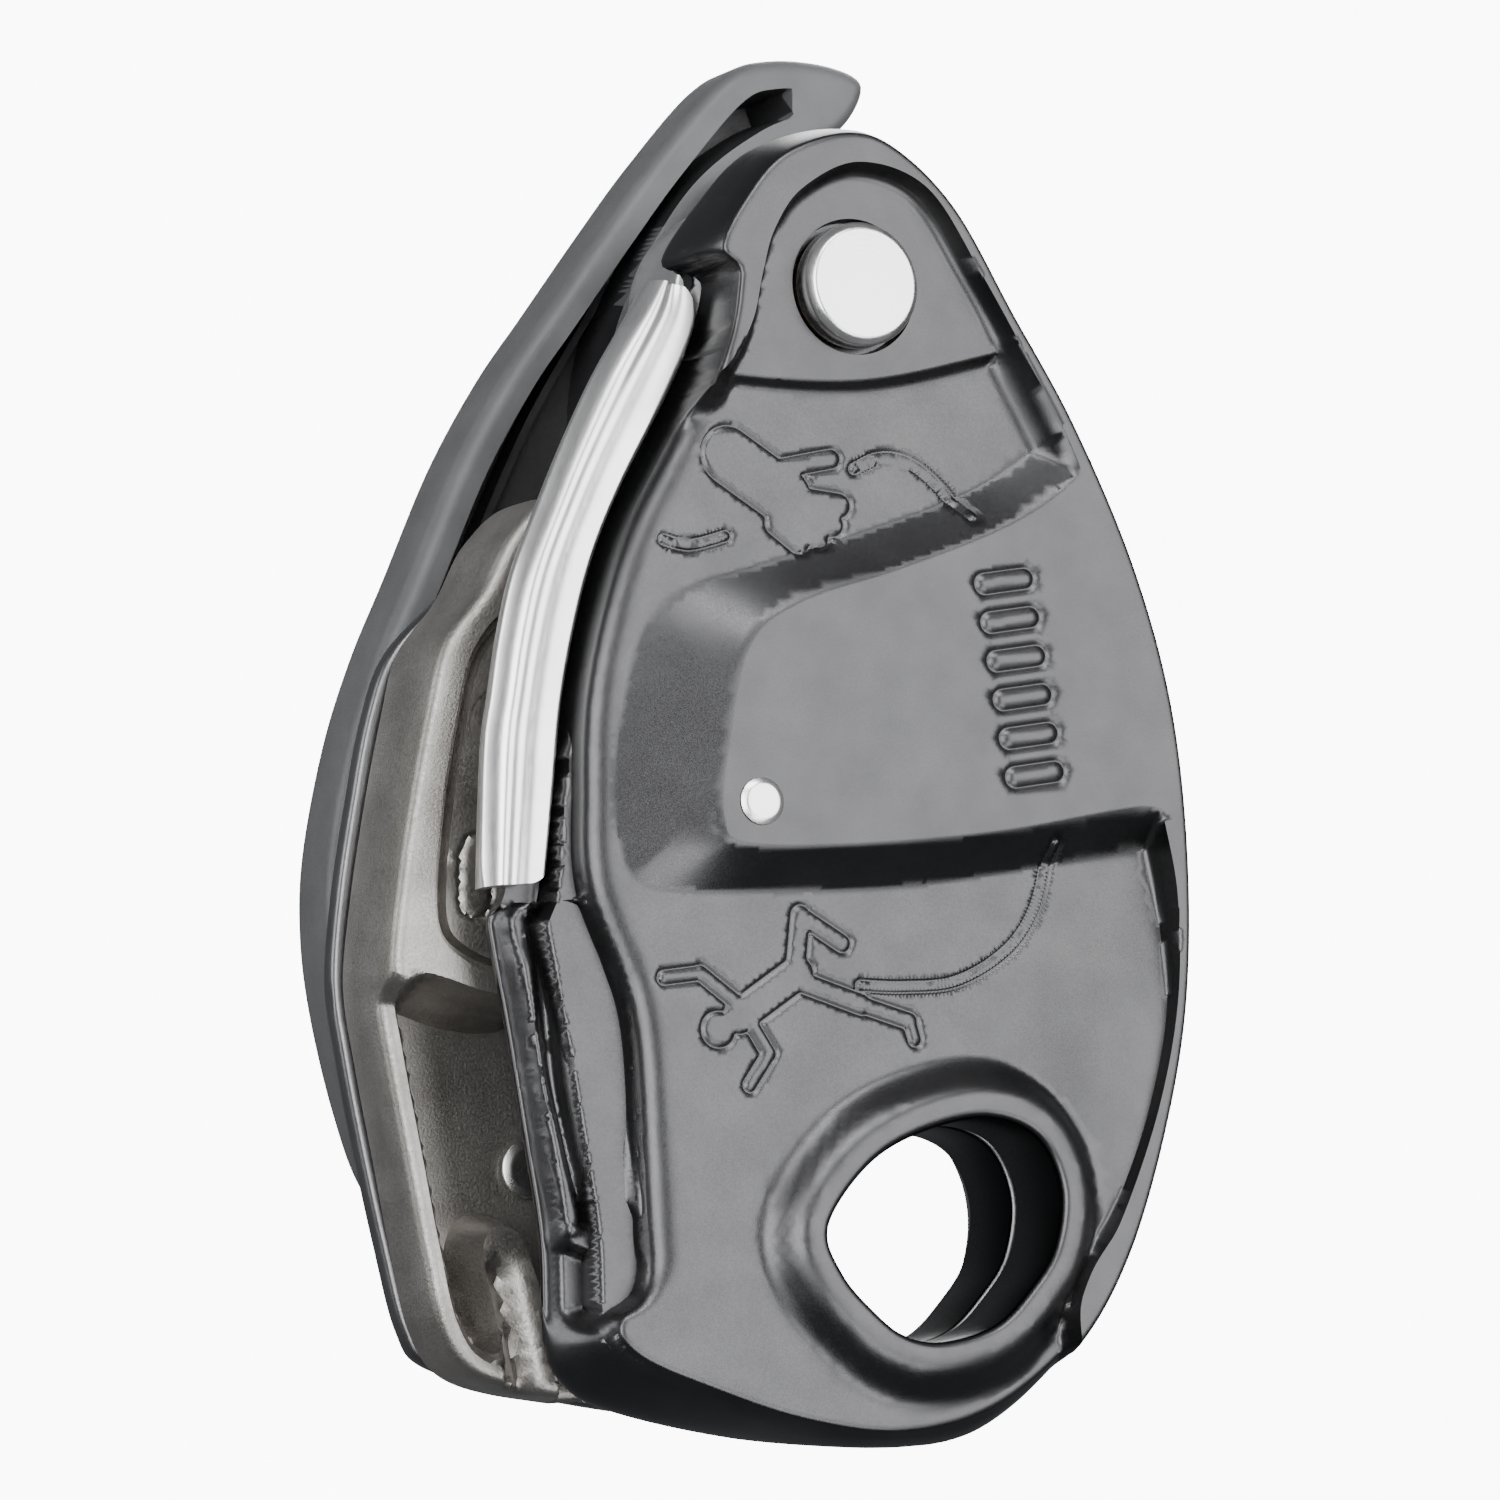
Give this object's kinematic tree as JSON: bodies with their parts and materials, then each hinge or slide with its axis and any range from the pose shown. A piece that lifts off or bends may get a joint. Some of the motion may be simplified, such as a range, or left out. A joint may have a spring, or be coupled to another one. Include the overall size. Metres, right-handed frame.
{
  "type": "belay device",
  "caption": "Assisted-braking belay device: forged side plates round a rope cam, a polished lip, a carabiner eye and a folding release handle.",
  "frame": {"origin": "middle of the carabiner eye, level with the raised front of the swinging plate", "axes": "+Z from the eye up to the main pivot, +X to the right of someone facing the front, +Y from the front to the back (the handle's side)"},
  "size_m": [0.062, 0.0351, 0.1073],
  "materials": {
    "anodised_charcoal": "satin anodised",
    "polished_steel": "polished stainless steel",
    "blasted_steel": "bead blasted",
    "anodised_alloy": "satin anodised",
    "machined_steel": "machined",
    "bronze": "plain bearing bronze",
    "grey_nylon": "moulded, matt",
    "black_plastic": "moulded, matt"
  },
  "bodies": {
    "fixed_side": {"fixed_side_plate": "anodised_alloy", "friction_body": "blasted_steel", "friction_shoe": "polished_steel", "main_pivot_pin": "polished_steel", "pivot_washer": "bronze", "cam_axle": "machined_steel", "axle_retaining_ring": "machined_steel", "friction_body_rivet_1": "machined_steel", "friction_body_rivet_2": "machined_steel", "friction_body_rivet_3": "machined_steel", "friction_body_rivet_4": "machined_steel", "cam_stop_pin": "machined_steel", "handle_stop_pin": "machined_steel", "detent_ball": "machined_steel", "detent_spring": "machined_steel"},
    "swinging_side": {"swinging_side_plate": "anodised_charcoal", "lip_insert": "polished_steel", "pivot_bush": "bronze", "spacer_rivet": "polished_steel"},
    "cam_assembly": {"cam": "machined_steel", "cam_bush": "bronze", "cam_drive_pin": "machined_steel", "cam_return_spring": "machined_steel"},
    "handle_assembly": {"release_handle": "grey_nylon", "handle_drive_plate": "machined_steel", "hub_cap": "black_plastic", "handle_return_spring": "machined_steel", "pawl_pin": "machined_steel"},
    "pawl_assembly": {"anti_panic_pawl": "machined_steel", "pawl_spring": "machined_steel"},
    "selector_assembly": {"selector_knob": "black_plastic", "selector_screw": "machined_steel"}
  },
  "joints": [
    {"name": "swinging_side_hinge", "type": "hinge", "parent": "fixed_side", "child": "swinging_side", "pos_m": [0, 0, 0.0704], "axis": [0, 1, 0], "range_deg": [0, 100]},
    {"name": "cam_hinge", "type": "hinge", "parent": "fixed_side", "child": "cam_assembly", "pos_m": [0.002, 0, 0.037], "axis": [0, 1, 0], "range_deg": [0, 30], "stiffness_Nm_per_rad": 0.03, "springref_deg": -28.65},
    {"name": "handle_hinge", "type": "hinge", "parent": "fixed_side", "child": "handle_assembly", "pos_m": [0.002, 0, 0.037], "axis": [0, -1, 0], "range_deg": [0, 130], "stiffness_Nm_per_rad": 0.03, "springref_deg": -34.38},
    {"name": "pawl_hinge", "type": "hinge", "parent": "handle_assembly", "child": "pawl_assembly", "pos_m": [-0.0158, 0, 0.037], "axis": [0, 1, 0], "range_deg": [0, 12], "stiffness_Nm_per_rad": 0.005, "springref_deg": -11.46},
    {"name": "selector_turn", "type": "hinge", "parent": "fixed_side", "child": "selector_assembly", "pos_m": [0.0095, 0, 0.057], "axis": [0, 1, 0], "range_deg": [0, 90]}
  ]
}
